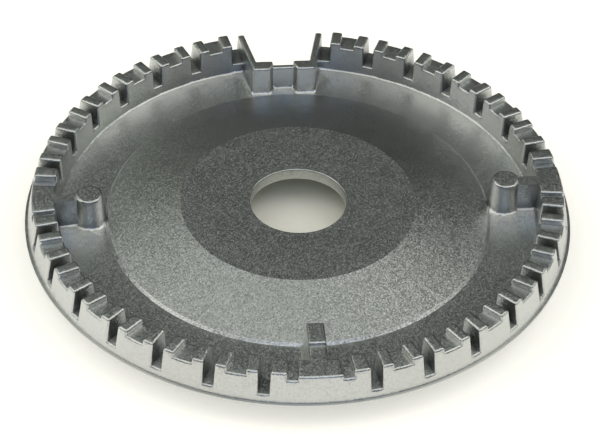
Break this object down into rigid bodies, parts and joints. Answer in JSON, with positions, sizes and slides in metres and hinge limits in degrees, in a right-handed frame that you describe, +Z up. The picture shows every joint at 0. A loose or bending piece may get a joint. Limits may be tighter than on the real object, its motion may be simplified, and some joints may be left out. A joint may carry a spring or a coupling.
{
  "type": "gas burner head",
  "caption": "Round die-cast gas burner head with a domed plate, a central bore, a slotted rim, raised bosses and an open igniter recess; it spreads gas to the flame ports.",
  "frame": {"origin": "on the bore's axis, level with the skirt's foot that the head stands on", "axes": "+Z up along the bore, -Y to the front boss, +Y to the igniter recess, +X to the right column"},
  "size_m": [0.1, 0.0994, 0.0105],
  "materials": {
    "cast_aluminium": "bead-blasted grey casting"
  },
  "bodies": {
    "root": {"burner_head": "cast_aluminium"}
  },
  "joints": []
}
